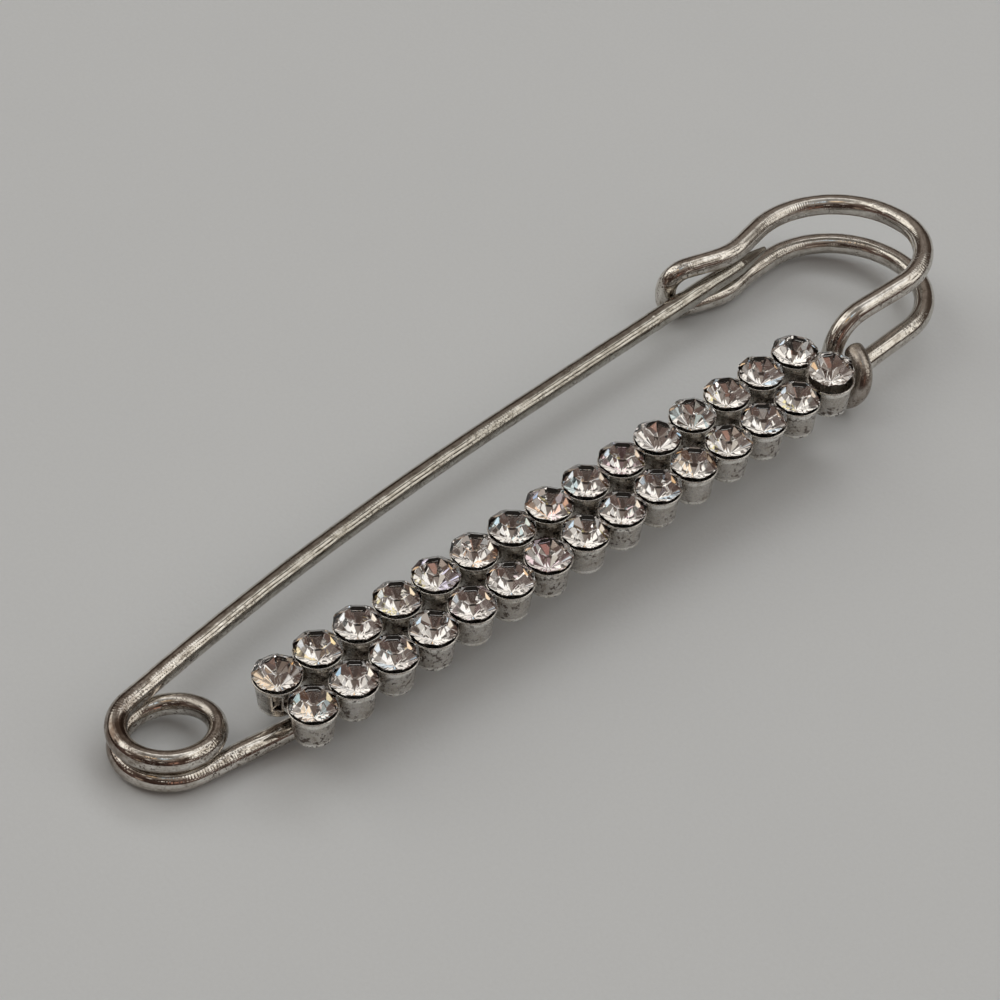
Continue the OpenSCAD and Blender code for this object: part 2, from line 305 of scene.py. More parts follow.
def tube(name, i0, i1, mat, cap0=False, cap1=False):
    n = i1 - i0 + 1
    v = rings[i0:i1 + 1].reshape(-1, 3)
    uvv = np.stack([SS[i0:i1 + 1].ravel(), TT[i0:i1 + 1].ravel() * WR], 1)
    faces, luv = [], []
    for i in range(n - 1):
        for j in range(NS):
            k = (j + 1) % NS
            faces.append((i * NS + j, i * NS + k, (i + 1) * NS + k, (i + 1) * NS + j))
    extra = []
    if cap0:
        extra.append(line[i0])
        c = len(v) + len(extra) - 1
        faces += [(c, (j + 1) % NS, j) for j in range(NS)]
    if cap1:
        extra.append(line[i1])
        c = len(v) + len(extra) - 1
        b = (n - 1) * NS
        faces += [(c, b + j, b + (j + 1) % NS) for j in range(NS)]
    if extra:
        v = np.vstack([v, np.array(extra)])
    # uv per loop, so that the seam does not run backwards
    for i in range(n - 1):
        s0, s1 = S[i0 + i], S[i0 + i + 1]
        for j in range(NS):
            t0, t1 = j * 2 * math.pi / NS * WR, (j + 1) * 2 * math.pi / NS * WR
            luv += [(s0, t0), (s0, t1), (s1, t1), (s1, t0)]
    if cap0:
        luv += [(S[i0], 0)] * (3 * NS)
    if cap1:
        luv += [(S[i1], 0)] * (3 * NS)
    ob = make(name, row(v), faces, [mat], smooth=True)
    layer = ob.data.uv_layers.new(name="along")
    layer.data.foreach_set("uv", np.array(luv, np.float32).ravel())
    return ob


# ------------------------------------------------------------------ materials
def nodes_of(name):
    mt = bpy.data.materials.new(name)
    mt.use_nodes = True
    nt = mt.node_tree
    bsdf = nt.nodes["Principled BSDF"]
    return mt, nt, bsdf


def nd(nt, kind, **kw):
    n = nt.nodes.new(kind)
    for k, v in kw.items():
        setattr(n, k, v)
    return n


def ramp(nt, stops, interp="LINEAR"):
    n = nt.nodes.new("ShaderNodeValToRGB")
    n.color_ramp.interpolation = interp
    el = n.color_ramp.elements
    while len(el) > 1:
        el.remove(el[-1])
    for i, (pos, col) in enumerate(stops):
        e = el[0] if i == 0 else el.new(pos)
        e.position = pos
        c = col if isinstance(col, (tuple, list)) else (col, col, col)
        e.color = (*c, 1)
    return n


def noise(nt, vec, scale, detail=3, rough=0.55, dist=0.0):
    n = nd(nt, "ShaderNodeTexNoise")
    n.inputs["Scale"].default_value = scale
    n.inputs["Detail"].default_value = detail
    n.inputs["Roughness"].default_value = rough
    n.inputs["Distortion"].default_value = dist
    nt.links.new(vec, n.inputs["Vector"])
    return n


def math_node(nt, op, a, b=None, clamp=False):
    n = nd(nt, "ShaderNodeMath", operation=op, use_clamp=clamp)
    for k, v in enumerate((a, b)):
        if v is None:
            continue
        if isinstance(v, (int, float)):
            n.inputs[k].default_value = v
        else:
            nt.links.new(v, n.inputs[k])
    return n.outputs[0]


def mix_col(nt, fac, a, b):
    n = nd(nt, "ShaderNodeMix", data_type="RGBA")
    for key, v in ((0, fac), (6, a), (7, b)):
        if isinstance(v, (int, float)):
            n.inputs[key].default_value = v
        elif isinstance(v, (tuple, list)):
            n.inputs[key].default_value = (*v, 1)
        else:
            nt.links.new(v, n.inputs[key])
    return n.outputs[2]


def wire_material():
    mt, nt, b = nodes_of("wire_plated")
    L = nt.links
    co = nd(nt, "ShaderNodeTexCoord")
    obj = co.outputs["Object"]
    uvn = nd(nt, "ShaderNodeUVMap", uv_map="along")

    def along(sx, sy):
        mp = nd(nt, "ShaderNodeMapping")
        mp.inputs["Scale"].default_value = (sx, sy, 1)
        L.new(uvn.outputs["UV"], mp.inputs["Vector"])
        return mp.outputs["Vector"]

    # pits: small dark specks, in patches
    pit_n = noise(nt, obj, 6800, 3, 0.6)
    patch_n = noise(nt, obj, 420, 4, 0.65)
    pit = ramp(nt, [(0.55, 0), (0.60, 1)])
    L.new(pit_n.outputs["Fac"], pit.inputs["Fac"])
    pat = ramp(nt, [(0.46, 0.0), (0.60, 1)])
    # more dark specks on the lower side that faces the cups' front
    low_side = nd(nt, "ShaderNodeVectorMath", operation="DOT_PRODUCT")
    L.new(co.outputs["Normal"], low_side.inputs[0])
    low_side.inputs[1].default_value = tuple(unit(np.array([0.55, -0.60, -0.10])))
    under = ramp(nt, [(0.25, 0.0), (0.80, 1.0)])
    L.new(low_side.outputs["Value"], under.inputs["Fac"])
    lower_side_specks = math_node(nt, "MULTIPLY_ADD", under.outputs["Color"], 0.12)
    L.new(patch_n.outputs["Fac"], nt.nodes[-1].inputs[2])
    L.new(lower_side_specks, pat.inputs["Fac"])
    specks = math_node(nt, "MULTIPLY", pit.outputs["Color"], pat.outputs["Color"])
    # drawn lines along the wire
    lines = noise(nt, along(0.35, 10.0), 1.7, 4, 0.6)
    # handling wear: bright and dull clouds, a little stretched along the wire
    wear = noise(nt, along(0.6, 1.3), 1.5, 5, 0.7, 0.3)
    cloud = noise(nt, obj, 3000, 4, 0.65)
    mixn = math_node(nt, "MULTIPLY_ADD", wear.outputs["Fac"], 0.74)
    nw = nt.nodes[-1]
    L.new(math_node(nt, "MULTIPLY", cloud.outputs["Fac"], 0.26), nw.inputs[2])
    tone = ramp(nt, [(0.36, (0.24, 0.20, 0.165)), (0.43, (0.44, 0.40, 0.35)), (0.50, (0.63, 0.59, 0.54)),
                     (0.61, (0.82, 0.79, 0.74))])
    L.new(mixn, tone.inputs["Fac"])
    col = mix_col(nt, math_node(nt, "MULTIPLY", specks, 0.86), tone.outputs["Color"], (0.075, 0.054, 0.040))
    # darker patches on the wire: a brown one on the coil's left, a painted dark reflection; a dull grey, rougher one on
    # its right; a greyer, rougher stretch around the head loops
    fog = noise(nt, obj, 1100, 4, 0.6)
    dulls = []
    for pt, r_out, r_in, tint, share in (((-33.3, 5.3, -1.3), 3.3, 1.2, (0.155, 0.108, 0.082), 0.92),
                                         ((-27.7, 4.1, -1.6), 2.1, 1.0, (0.36, 0.33, 0.30), 0.75),
                                         ((34.5, 7.5, -1.8), 11.5, 8.0, (0.58, 0.55, 0.51), 0.50)):
        dist = nd(nt, "ShaderNodeVectorMath", operation="DISTANCE")
        L.new(obj, dist.inputs[0])
        dist.inputs[1].default_value = tuple(row(pt)[0])
        near = nd(nt, "ShaderNodeMapRange")
        near.inputs["From Min"].default_value = r_out / 1000
        near.inputs["From Max"].default_value = r_in / 1000
        L.new(dist.outputs["Value"], near.inputs["Value"])
        fr = ramp(nt, [(0.34, 0.35), (0.56, 1)])
        L.new(fog.outputs["Fac"], fr.inputs["Fac"])
        amount = math_node(nt, "MULTIPLY", near.outputs["Result"], fr.outputs["Color"])
        col = mix_col(nt, math_node(nt, "MULTIPLY", amount, share), col, tint)
        dulls.append(amount)
    # the wrapped end is duller and browner
    sx = nd(nt, "ShaderNodeSeparateXYZ")
    L.new(uvn.outputs["UV"], sx.inputs[0])
    endm = nd(nt, "ShaderNodeMapRange")
    endm.inputs["From Min"].default_value = TOTAL - 8.5
    endm.inputs["From Max"].default_value = TOTAL - 6.5
    L.new(sx.outputs[0], endm.inputs["Value"])
    armm = nd(nt, "ShaderNodeMapRange")
    armm.inputs["From Min"].default_value = arm_len - 3
    armm.inputs["From Max"].default_value = arm_len - 14
    L.new(sx.outputs[0], armm.inputs["Value"])
    col = mix_col(nt, math_node(nt, "MULTIPLY", armm.outputs["Result"], 0.52), col, (0.31, 0.30, 0.262))
    dull = mix_col(nt, math_node(nt, "MULTIPLY", endm.outputs["Result"], 0.62), col, (0.27, 0.225, 0.19))
    L.new(dull, b.inputs["Base Color"])
    b.inputs["Metallic"].default_value = 1
    ro = ramp(nt, [(0.38, 0.11), (0.47, 0.035), (0.58, 0.016)])
    L.new(mixn, ro.inputs["Fac"])
    ro2 = math_node(nt, "MULTIPLY_ADD", specks, 0.3)
    n = nt.nodes[-1]
    L.new(ro.outputs["Color"], n.inputs[2])
    ro3 = math_node(nt, "MULTIPLY_ADD", endm.outputs["Result"], 0.20)
    L.new(ro2, nt.nodes[-1].inputs[2])
    ro5 = math_node(nt, "MULTIPLY_ADD", dulls[1], 0.16)
    L.new(ro3, nt.nodes[-1].inputs[2])
    ro4 = math_node(nt, "MULTIPLY_ADD", dulls[2], 0.10)
    L.new(ro5, nt.nodes[-1].inputs[2])
    L.new(ro4, b.inputs["Roughness"])
    # ribs across the wire from its bending, in patches
    ribs = nd(nt, "ShaderNodeTexWave", wave_type="BANDS", bands_direction="X")
    ribs.inputs["Scale"].default_value = 1.6
    ribs.inputs["Distortion"].default_value = 4.0
    ribs.inputs["Detail"].default_value = 2.0
    ribs.inputs["Detail Scale"].default_value = 1.2
    L.new(along(1.0, 0.12), ribs.inputs["Vector"])
    rpat = ramp(nt, [(0.52, 0.0), (0.62, 1)])
    L.new(noise(nt, obj, 260, 2, 0.5).outputs["Fac"], rpat.inputs["Fac"])
    # the far side of both head loops is combed all over
    far = nd(nt, "ShaderNodeVectorMath", operation="DISTANCE")
    L.new(obj, far.inputs[0])
    far.inputs[1].default_value = tuple(row((34.0, 13.1, -1.8))[0])
    combed = nd(nt, "ShaderNodeMapRange")
    combed.inputs["From Min"].default_value = 0.0042
    combed.inputs["From Max"].default_value = 0.0030
    L.new(far.outputs["Value"], combed.inputs["Value"])
    rmask = math_node(nt, "MAXIMUM", rpat.outputs["Color"], combed.outputs["Result"])
    rib = math_node(nt, "MULTIPLY", ribs.outputs["Fac"], rmask)
    # fine relief
    h1 = math_node(nt, "MULTIPLY", lines.outputs["Fac"], 0.07)
    micro = noise(nt, obj, 4200, 4, 0.65)
    h2 = math_node(nt, "MULTIPLY_ADD", micro.outputs["Fac"], 0.05)
    L.new(h1, nt.nodes[-1].inputs[2])
    h3 = math_node(nt, "MULTIPLY_ADD", specks, -0.5)
    L.new(h2, nt.nodes[-1].inputs[2])
    h4 = math_node(nt, "MULTIPLY_ADD", rib, 0.62)
    L.new(h3, nt.nodes[-1].inputs[2])
    bump = nd(nt, "ShaderNodeBump")
    bump.inputs["Strength"].default_value = 1.0
    bump.inputs["Distance"].default_value = 0.0000085
    L.new(h4, bump.inputs["Height"])
    L.new(bump.outputs["Normal"], b.inputs["Normal"])
    return mt


def cup_material():
    mt, nt, b = nodes_of("cup_metal")
    L = nt.links
    obj = nd(nt, "ShaderNodeTexCoord").outputs["Object"]
    blot = noise(nt, obj, 900, 5, 0.66, 0.5)
    fine = noise(nt, obj, 5200, 3, 0.6)
    spot = noise(nt, obj, 2700, 5, 0.7)
    big = noise(nt, obj, 420, 3, 0.6)
    r1 = ramp(nt, [(0.32, (0.50, 0.46, 0.40)), (0.40, (0.78, 0.745, 0.685)), (0.52, (0.89, 0.865, 0.815)),
                   (0.66, (0.96, 0.94, 0.905))])
    L.new(blot.outputs["Fac"], r1.inputs["Fac"])
    r2 = ramp(nt, [(0.535, 0), (0.57, 1)])
    L.new(spot.outputs["Fac"], r2.inputs["Fac"])
    r3 = ramp(nt, [(0.43, 0.15), (0.55, 1)])
    L.new(big.outputs["Fac"], r3.inputs["Fac"])
    marks = math_node(nt, "MULTIPLY", r2.outputs["Color"], r3.outputs["Color"])
    col = mix_col(nt, math_node(nt, "MULTIPLY", marks, 0.88), r1.outputs["Color"], (0.055, 0.042, 0.034))
    # the worn rim is brighter and cleaner than the wall
    geo = nd(nt, "ShaderNodeUVMap", uv_map="zone")
    sep = nd(nt, "ShaderNodeSeparateXYZ")
    L.new(geo.outputs["UV"], sep.inputs[0])
    lip = ramp(nt, [(0.55, 0.0), (0.75, 0.8)])
    L.new(sep.outputs[0], lip.inputs["Fac"])
    col2 = mix_col(nt, lip.outputs["Color"], col, mix_col(nt, blot.outputs["Fac"], (0.60, 0.565, 0.51), (0.90, 0.88, 0.84)))
    # painted shade in the hollows: inside the cups, in the groove under the lip, at the foot and low between the rows
    painted_shade = ramp(nt, [(0.25, 0.55), (0.50, 0.0)])
    L.new(sep.outputs[1], painted_shade.inputs["Fac"])
    col3 = mix_col(nt, painted_shade.outputs["Color"], col2, (0.11, 0.075, 0.055))
    L.new(col3, b.inputs["Base Color"])
    b.inputs["Metallic"].default_value = 1
    ro = math_node(nt, "MULTIPLY_ADD", fine.outputs["Fac"], 0.30)
    nt.nodes[-1].inputs[2].default_value = 0.13
    L.new(ro, b.inputs["Roughness"])
    hgt = math_node(nt, "MULTIPLY_ADD", blot.outputs["Fac"], 1.6)
    L.new(fine.outputs["Fac"], nt.nodes[-1].inputs[2])
    bump = nd(nt, "ShaderNodeBump")
    bump.inputs["Strength"].default_value = 0.85
    bump.inputs["Distance"].default_value = 0.00003
    L.new(hgt, bump.inputs["Height"])
    L.new(bump.outputs["Normal"], b.inputs["Normal"])
    return mt


def glass_material(name="stone_glass", dark=(0.97, 0.965, 0.96), light=(1.0, 1.0, 1.0)):
    mt, nt, b = nodes_of(name)
    L = nt.links
    obj = nd(nt, "ShaderNodeTexCoord").outputs["Object"]
    n = noise(nt, obj, 500, 2, 0.5)
    col = mix_col(nt, n.outputs["Fac"], dark, light)
    L.new(col, b.inputs["Base Color"])
    b.inputs["Transmission Weight"].default_value = 1
    b.inputs["IOR"].default_value = 1.56
    b.inputs["Roughness"].default_value = 0.0
    return mt


def foil_material(name, colour, rough=0.012):
    """mirror foil seen through the stone; its outside is near-black lacquer, which also paints the shade in the gap
    under the girdle
    """
    mt, nt, b = nodes_of(name)
    L = nt.links
    obj = nd(nt, "ShaderNodeTexCoord").outputs["Object"]
    n = noise(nt, obj, 1800, 3, 0.6)
    col = mix_col(nt, n.outputs["Fac"], tuple(c * 0.86 for c in colour), colour)
    L.new(col, b.inputs["Base Color"])
    b.inputs["Metallic"].default_value = 1
    b.inputs["Roughness"].default_value = rough
    # the foil's back: lacquer, near black, which also paints the shade between girdle and rim
    lacquer_and_shade = nd(nt, "ShaderNodeBsdfPrincipled")
    n2 = noise(nt, obj, 900, 3, 0.6)
    L.new(mix_col(nt, n2.outputs["Fac"], (0.016, 0.013, 0.011), (0.035, 0.029, 0.024)), lacquer_and_shade.inputs["Base Color"])
    lacquer_and_shade.inputs["Roughness"].default_value = 0.6
    ge = nd(nt, "ShaderNodeNewGeometry")
    mx = nd(nt, "ShaderNodeMixShader")
    L.new(ge.outputs["Backfacing"], mx.inputs[0])
    L.new(lacquer_and_shade.outputs[0], mx.inputs[1])
    L.new(b.outputs[0], mx.inputs[2])
    L.new(mx.outputs[0], nt.nodes["Material Output"].inputs["Surface"])
    return mt


WIRE = wire_material()
CUP = cup_material()
GLASS = glass_material()
FOIL = foil_material("stone_foil", (0.97, 0.955, 0.945))
# tinted foils that paint coloured glints of fire into the stones
PAINTED_GLINT_FOILS = [foil_material("painted_glint_blue", (0.62, 0.80, 0.98)), foil_material("painted_glint_gold", (0.98, 0.86, 0.58)),
        foil_material("painted_glint_orange", (0.96, 0.70, 0.52)), foil_material("painted_glint_rose", (0.94, 0.78, 0.86))]

# tinted glass for painted glints: colour in place of the stones' coloured flashes
PAINTED_GLINT_COLOURS = {"cyan": (0.60, 0.87, 1.0), "violet": (0.70, 0.66, 1.0), "yellow": (1.0, 0.90, 0.36),
         "orange": (1.0, 0.72, 0.46), "pink": (1.0, 0.78, 0.90), "cream": (1.0, 0.95, 0.80)}
PAINTED_GLINT_ORDER = list(PAINTED_GLINT_COLOURS)
PAINTED_GLINT_GLASS = [glass_material("stone_painted_glint_" + k, tuple(c * 0.93 for c in PAINTED_GLINT_COLOURS[k]), PAINTED_GLINT_COLOURS[k]) for k in PAINTED_GLINT_ORDER]

# ------------------------------------------------------------------ wire pieces
i_a = int(round(s_coil0 / STEP))
i_b = int(round(s_coil1 / STEP))
arm = tube("wire_arm", 0, i_a, WIRE, cap0=True)
coil = tube("wire_coil", i_a, i_b, WIRE)
frm = tube("wire_loop", i_b, len(S) - 1, WIRE, cap1=True)
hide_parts("pin_arm")
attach(arm, "pin")
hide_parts("wire_frame")
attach(frm, "frame")
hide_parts("coil")
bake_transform(coil)

# ------------------------------------------------------------------ cups
NC = 48


def ring_profile():
    """half section of a cup: outer wall from the foot up, round lip, inner wall down"""
    p = [(0.0, -2.82), (0.6, -2.82), (1.10, -2.818), (1.19, -2.80), (1.255, -2.755), (1.285, -2.69), (1.292, -2.62)]
    for z in np.linspace(-2.45, -0.60, 7):
        f = (z + 2.62) / 2.02
        p.append((1.292 + (1.50 - 1.292) * f, z))
    p.append((1.508, -0.51))
    # lip
    for a in range(-80, 181, 26):
        q = math.radians(a)
        p.append((1.575 + 0.072 * math.cos(q), -0.418 + 0.072 * math.sin(q)))
    p += [(1.470, -0.54), (1.43, -0.85), (1.22, -1.6), (1.0, -2.38), (0.0, -2.41)]
    return p


PROF = ring_profile()
cup_v, cup_f = [], []
cg = np.random.default_rng(21)


def add_cup(cx_, cy_, seed, hole=None):
    g = np.random.default_rng(seed)
    modes = [(int(g.integers(2, 6)), g.uniform(0, 6.28), g.uniform(0.004, 0.014)) for _ in range(3)]
    base = len(cup_v)
    rot0 = g.uniform(0, 6.28)
    ring_start = []
    for r, z in PROF:
        if r == 0:
            ring_start.append((len(cup_v), True))
            cup_v.append((cx_, cy_, z))
            continue
        ring_start.append((len(cup_v), False))
        for k in range(NC):
            t = 2 * math.pi * k / NC
            d = sum(a * math.cos(n * t + ph) for n, ph, a in modes) * min(1, (z + 3.0) / 2.5) * 0.6
            dz = 0.012 * math.cos(2 * t + rot0) * (1 if z > -0.6 else 0)
            rr = min(r + d, 1.646)
            cup_v.append((cx_ + rr * math.cos(t), cy_ + rr * math.sin(t), z + dz))
    for a in range(len(PROF) - 1):
        (s0, p0), (s1, p1) = ring_start[a], ring_start[a + 1]
        for k in range(NC):
            j = (k + 1) % NC
            if p0:
                cup_f.append((s0, s1 + j, s1 + k))
            elif p1:
                cup_f.append((s0 + k, s0 + j, s1))
            else:
                if hole is not None and -2.2 < PROF[a][1] < -0.6 and -2.3 < PROF[a + 1][1] < -0.5 and PROF[a][0] < PROF[a + 1][0]:
                    t = math.degrees(2 * math.pi * (k + 0.5) / NC)
                    dd = (t - hole + 180) % 360 - 180
                    if abs(dd) < 14:
                        continue
                cup_f.append((s0 + k, s0 + j, s1 + j, s1 + k))


def box_round(c, h, bev=0.08):
    """block with bevelled edges: centre c, half sizes h"""
    vs, fs = [], []
    b0 = len(cup_v)
    pts = []
    for sx in (-1, 1):
        for sy in (-1, 1):
            for sz in (-1, 1):
                pts.append(((c[0] + sx * h[0], c[1] + sy * (h[1] - bev), c[2] + sz * (h[2] - bev))))
                pts.append(((c[0] + sx * (h[0] - bev), c[1] + sy * h[1], c[2] + sz * (h[2] - bev))))
                pts.append(((c[0] + sx * (h[0] - bev), c[1] + sy * (h[1] - bev), c[2] + sz * h[2])))
    cup_v.extend(pts)
    idx = lambda ix, iy, iz, k: b0 + ((ix * 2 + iy) * 2 + iz) * 3 + k
    for s in (0, 1):
        f = [idx(s, 0, 0, 0), idx(s, 1, 0, 0), idx(s, 1, 1, 0), idx(s, 0, 1, 0)]
        cup_f.append(f if s else f[::-1])
        f = [idx(0, s, 0, 1), idx(0, s, 1, 1), idx(1, s, 1, 1), idx(1, s, 0, 1)]
        cup_f.append(f if s else f[::-1])
        f = [idx(0, 0, s, 2), idx(1, 0, s, 2), idx(1, 1, s, 2), idx(0, 1, s, 2)]
        cup_f.append(f if s else f[::-1])
    for a in (0, 1):
        for b in (0, 1):
            # edges along x, y, z
            f = [idx(0, a, b, 1), idx(1, a, b, 1), idx(1, a, b, 2), idx(0, a, b, 2)]
            cup_f.append(f if (a == b) else f[::-1])
            f = [idx(a, 0, b, 0), idx(a, 1, b, 0), idx(a, 1, b, 2), idx(a, 0, b, 2)]
            cup_f.append(f[::-1] if (a == b) else f)
            f = [idx(a, b, 0, 0), idx(a, b, 1, 0), idx(a, b, 1, 1), idx(a, b, 0, 1)]
            cup_f.append(f if (a == b) else f[::-1])
            for e in (0, 1):
                f = [idx(a, b, e, 0), idx(a, b, e, 1), idx(a, b, e, 2)]
                cup_f.append(f if (a + b + e) % 2 else f[::-1])


N = 15
ROWGAP = 3.5
for i in range(N):
    for si, sg in enumerate((-1, 1)):
        x = (i - 7) * PITCH
        add_cup(x, sg * ROWGAP / 2, 100 + i * 2 + si, hole=229 if (i == 0 and sg == 1) else None)
for i in range(N - 1):
    for sg in (-1, 1):
        box_round(((i - 6.5) * PITCH, sg * ROWGAP / 2, -1.65), (0.62, 0.38, 0.24), 0.07)
box_round((0, 0, -1.70), (7 * PITCH + 0.68, 0.41, 0.24), 0.08)
slot_from = len(cup_v)


def slot_bar(t0, z0, t1, z1, w, d):
    """small bent-out edge of the cut slot in the first back cup: tangential offset and height in mm"""
    q = math.radians(229)
    er, et = np.array([math.cos(q), math.sin(q), 0]), np.array([-math.sin(q), math.cos(q), 0])
    mid_ = np.array([-7 * PITCH, ROWGAP / 2, 0])
    at = lambda t, z: mid_ + er * (1.292 + (z + 2.62) * 0.103 - t * t * 0.36) + et * t + np.array([0, 0, z])
    a_, b_ = at(t0, z0), at(t1, z1)
    ax = unit(b_ - a_)
    cr = unit(np.cross(er, ax))
    b0 = len(cup_v)
    for pnt, k_ in ((a_, 1.0), (b_, 0.75)):
        for u_, v_ in ((-1, -1), (1, -1), (1, 1), (-1, 1)):
            cup_v.append(tuple(pnt + cr * u_ * w * k_ / 2 + er * v_ * d * k_ / 2))
    cup_f.extend([(b0, b0 + 1, b0 + 2, b0 + 3), (b0 + 7, b0 + 6, b0 + 5, b0 + 4)]
                 + [(b0 + k_, b0 + 4 + k_, b0 + 4 + (k_ + 1) % 4, b0 + (k_ + 1) % 4) for k_ in range(4)])


slot_bar(-0.37, -0.66, -0.30, -2.16, 0.12, 0.10)
slot_bar(0.37, -2.16, 0.35, -0.66, 0.10, 0.10)
slot_bar(-0.36, -2.12, 0.38, -2.16, 0.13, 0.10)
slot_bar(0.38, -0.70, -0.38, -0.64, 0.10, 0.08)
slot_bar(-0.34, -1.95, 0.02, -1.42, 0.10, 0.07)
cups = make("cups", row(np.array(cup_v)), cup_f, [CUP], smooth=True)
import bmesh
bm = bmesh.new()
bm.from_mesh(cups.data)
bmesh.ops.recalc_face_normals(bm, faces=bm.faces)
bm.to_mesh(cups.data)
bm.free()
cups.data.polygons.foreach_set("use_smooth", np.full(len(cups.data.polygons), True))
cups.data.set_sharp_from_angle(angle=math.radians(38))
# zone: u = 1 on the rims; v is low where shade is painted: inside the cups, in the groove under the lip, at the foot,
# and lower down between the rows
zl_ = np.array(cup_v)
zone_v = np.empty((len(zl_), 2))
cupi = np.clip(np.round(zl_[:, 0] / PITCH), -7, 7) * PITCH
rr_ = np.minimum(np.hypot(zl_[:, 0] - cupi, zl_[:, 1] - ROWGAP / 2), np.hypot(zl_[:, 0] - cupi, zl_[:, 1] + ROWGAP / 2))
zone_v[:, 0] = np.where((zl_[:, 2] > -0.452) & (rr_ > 1.49), 1.0, 0.0)
groove = (zl_[:, 2] > -0.55) & (zl_[:, 2] < -0.46) & (rr_ > 1.48)
inside = (rr_ < 1.48) & (zl_[:, 2] > -2.5) & (zl_[:, 2] < -0.45)
between = np.abs(zl_[:, 1]) < 1.2
foot = (zl_[:, 2] < -2.74) & (rr_ > 1.0)
zone_v[:, 1] = np.where(inside | foot | groove, 0.30, 1.0) - np.where(between, np.clip((-0.7 - zl_[:, 2]) / 1.4, 0, 1) * 0.35, 0)
zone_v[slot_from:] = (1.0, 1.0)
lay = cups.data.uv_layers.new(name="zone")
idx_ = np.empty(len(cups.data.loops), np.int32)
cups.data.loops.foreach_get("vertex_index", idx_)
lay.data.foreach_set("uv", zone_v[idx_].astype(np.float32).ravel())
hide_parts("cup_bar")
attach(cups, "frame")

# ------------------------------------------------------------------ stones
GR, CROWN, DEPTH = 1.63, 0.612, 1.41
TABLE, CORNER, NARROW = 0.54, 5.5, 3.6
TURNS = {1: [-13, 10, 3, 8, 16, -4, 1, -9, -1, 0, -21, 16, 11, 8, -14],
         -1: [6, 2, 8, -3, 8, 9, 16, -4, -2, 4, -2, 12, 2, -6, 10]}


def stone_mesh():
    """octagonal table, broad crown facets with slim corners, the same on the pointed base"""
    rt = TABLE * GR
    v, f = [], []
    for k in range(8):
        q = math.radians(22.5 + 45 * k)
        v.append((rt * math.cos(q), rt * math.sin(q), CROWN))
    for z in (0.02, -0.045):
        for k in range(8):
            for q in (CORNER - 22.5, 22.5 - CORNER):
                a = math.radians(45 * k + q)
                v.append((GR * math.cos(a), GR * math.sin(a), z))
    # pavilion: sixteen facets, wide and narrow in turn
    for k in range(8):
        for q in (NARROW - 22.5, 22.5 - NARROW):
            a = math.radians(45 * k + q)
            v.append((0.97 * GR * math.cos(a), 0.97 * GR * math.sin(a), -0.085))
    v.append((0, 0, -DEPTH))
    f.append(list(range(8)))
    for k in range(8):
        f.append((8 + 2 * k, 9 + 2 * k, k, (k + 7) % 8))
    for k in range(8):
        f.append((9 + 2 * k, 8 + (2 * k + 2) % 16, k))
    for j in range(16):
        f.append((8 + j, 24 + j, 24 + (j + 1) % 16, 8 + (j + 1) % 16))
    mi = [0] * len(f)
    for j in range(16):
        k = (j + 1) % 16
        f.append((24 + j, 40 + j, 40 + k, 24 + k))
        f.append((40 + j, 56, 40 + k))
        mi += [1, 1]
    return np.array(v), f, mi


SV, SF, SM = stone_mesh()
# where the photographed stones flash in colour: direction about the stone, colour, slim facet or broad
# the listed facets get tinted glass, which paints these flashes
PAINTED_GLINT_PLACES = {(1, 1): [(1, "orange", 0)], (1, 4): [(157, "cream", 0), (-20, "yellow", 1)],
         (1, 5): [(110, "violet", 0), (1, "yellow", 1)], (1, 7): [(157, "cyan", 0), (-50, "orange", 1)],
         (1, 8): [(110, "pink", 0), (-90, "yellow", 1)], (1, 9): [(157, "cyan", 0), (-60, "orange", 1)],
         (1, 10): [(-45, "yellow", 1)], (1, 12): [(157, "cyan", 0), (-100, "cyan", 1)],
         (1, 13): [(-30, "yellow", 1)], (-1, 1): [(157, "cyan", 0), (-30, "orange", 0)],
         (-1, 3): [(-50, "cyan", 1)], (-1, 5): [(-10, "pink", 0)], (-1, 7): [(100, "yellow", 1)],
         (-1, 8): [(-90, "yellow", 1)], (-1, 9): [(157, "cyan", 1)], (-1, 11): [(-40, "orange", 0)],
         (-1, 12): [(140, "cyan", 1), (-60, "orange", 1), (-20, "yellow", 1)], (-1, 14): [(-40, "yellow", 1)]}


def rot_xyz(ax, ay, az):
    ax, ay, az = map(math.radians, (ax, ay, az))
    Rx_ = np.array([[1, 0, 0], [0, math.cos(ax), -math.sin(ax)], [0, math.sin(ax), math.cos(ax)]])
    Ry_ = np.array([[math.cos(ay), 0, math.sin(ay)], [0, 1, 0], [-math.sin(ay), 0, math.cos(ay)]])
    Rz_ = np.array([[math.cos(az), -math.sin(az), 0], [math.sin(az), math.cos(az), 0], [0, 0, 1]])
    return Rz_ @ Ry_ @ Rx_


